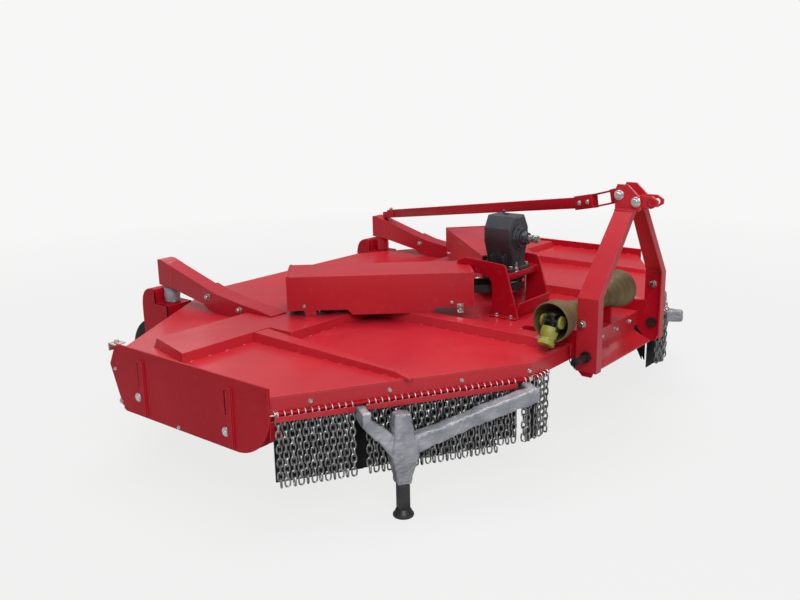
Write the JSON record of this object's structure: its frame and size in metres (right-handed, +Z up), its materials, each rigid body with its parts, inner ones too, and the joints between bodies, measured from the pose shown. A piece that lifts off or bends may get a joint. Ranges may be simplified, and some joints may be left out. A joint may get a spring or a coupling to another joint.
{
  "type": "tractor-mounted rotary mower",
  "caption": "Wide hexagonal-decked rotary mower for a three-point hitch, with belt-driven rotors, chain curtain, parking legs and rear casters.",
  "frame": {"origin": "on the ground under the middle of the whole machine", "axes": "+X to the machine's right, +Y to its rear, +Z up"},
  "size_m": [3.076, 2.526, 1.143],
  "materials": {
    "bare_steel": "machined, oiled",
    "belt_rubber": "moulded",
    "black_paint": "satin enamel",
    "blade_steel": "hardened, black from the forge",
    "film_wrap": "wound packing film over paint",
    "guard_plastic": "moulded",
    "red_paint": "glossy enamel",
    "tyre_rubber": "moulded",
    "zinc": "zinc plated"
  },
  "bodies": {
    "root": {"arm_bracket_left": "red_paint", "arm_bracket_right": "red_paint", "belt_cover_left": "red_paint", "belt_cover_right": "red_paint", "belt_left": "belt_rubber", "belt_right": "belt_rubber", "brace": "red_paint", "chain_left": "zinc", "chain_rear": "zinc", "chain_right": "zinc", "chain_rod_left": "zinc", "chain_rod_rear": "zinc", "chain_rod_right": "zinc", "cross_beam": "red_paint", "deck_plate": "red_paint", "driveshaft": "bare_steel", "driveshaft_cradle": "red_paint", "driveshaft_guard": "guard_plastic", "front_lip": "red_paint", "front_skirt": "red_paint", "front_stand_left": "film_wrap", "front_stand_right": "film_wrap", "gearbox": "black_paint", "gearbox_stand": "red_paint", "hitch_bracket_left": "red_paint", "hitch_bracket_right": "red_paint", "hitch_pin_left": "zinc", "hitch_pin_right": "zinc", "inner_rib_left": "red_paint", "inner_rib_right": "red_paint", "mast_head": "red_paint", "mast_leg_left": "red_paint", "mast_leg_right": "red_paint", "outer_rib_left": "red_paint", "outer_rib_right": "red_paint", "rear_arm_left": "red_paint", "rear_arm_right": "red_paint", "rear_skirt": "red_paint", "side_plate_left": "red_paint", "side_plate_right": "red_paint", "skid_left": "red_paint", "skid_right": "red_paint", "spindle_left": "black_paint", "spindle_right": "black_paint"},
    "rotor_left": {"rotor_left": "black_paint", "blades_left": "blade_steel"},
    "rotor_right": {"rotor_right": "black_paint", "blades_right": "blade_steel"},
    "drive_shaft": {"drive_shaft": "bare_steel"},
    "input_shaft": {"input_shaft": "bare_steel"},
    "caster_left": {"caster_fork_left": "red_paint"},
    "caster_right": {"caster_fork_right": "red_paint"},
    "wheel_left": {"wheel_rim_left": "red_paint", "tyre_left": "tyre_rubber"},
    "wheel_right": {"wheel_rim_right": "red_paint", "tyre_right": "tyre_rubber"},
    "parking_leg_left": {"parking_leg_left": "black_paint"},
    "parking_leg_right": {"parking_leg_right": "black_paint"},
    "top_link_bracket": {"top_link_bracket": "red_paint"}
  },
  "joints": [
    {"name": "rotor_left_spin", "type": "hinge", "parent": "root", "child": "rotor_left", "pos_m": [-0.68, 0.103, 0.33], "axis": [0, 0, 1], "continuous": true},
    {"name": "rotor_right_spin", "type": "hinge", "parent": "root", "child": "rotor_right", "pos_m": [0.68, 0.103, 0.33], "axis": [0, 0, 1], "continuous": true},
    {"name": "drive_shaft_spin", "type": "hinge", "parent": "root", "child": "drive_shaft", "pos_m": [0, -0.517, 0.65], "axis": [0, 0, 1], "continuous": true},
    {"name": "input_shaft_spin", "type": "hinge", "parent": "root", "child": "input_shaft", "pos_m": [0, -0.592, 0.86], "axis": [0, 1, 0], "continuous": true},
    {"name": "caster_left_swivel", "type": "hinge", "parent": "root", "child": "caster_left", "pos_m": [-0.83, 0.953, 0.582], "axis": [0, 0, 1], "range_deg": [-60, 60]},
    {"name": "wheel_left_spin", "type": "hinge", "parent": "caster_left", "child": "wheel_left", "pos_m": [-0.83, 1.063, 0.2], "axis": [1, 0, 0], "continuous": true},
    {"name": "caster_right_swivel", "type": "hinge", "parent": "root", "child": "caster_right", "pos_m": [0.83, 0.953, 0.582], "axis": [0, 0, 1], "range_deg": [-60, 60]},
    {"name": "wheel_right_spin", "type": "hinge", "parent": "caster_right", "child": "wheel_right", "pos_m": [0.83, 1.063, 0.2], "axis": [1, 0, 0], "continuous": true},
    {"name": "parking_leg_left_slide", "type": "slide", "parent": "root", "child": "parking_leg_left", "axis": [0, 0, 1], "range_m": [0, 0.1]},
    {"name": "parking_leg_right_slide", "type": "slide", "parent": "root", "child": "parking_leg_right", "axis": [0, 0, 1], "range_m": [0, 0.1]},
    {"name": "top_link_bracket_rock", "type": "hinge", "parent": "root", "child": "top_link_bracket", "pos_m": [0, -1.175, 1.074], "axis": [1, 0, 0], "range_deg": [-60, 0]}
  ],
  "couplings": [
    {"joint": "rotor_right_spin", "follows": "rotor_left_spin", "ratio": 1},
    {"joint": "drive_shaft_spin", "follows": "rotor_left_spin", "ratio": 1},
    {"joint": "input_shaft_spin", "follows": "rotor_left_spin", "ratio": 0.5185}
  ]
}
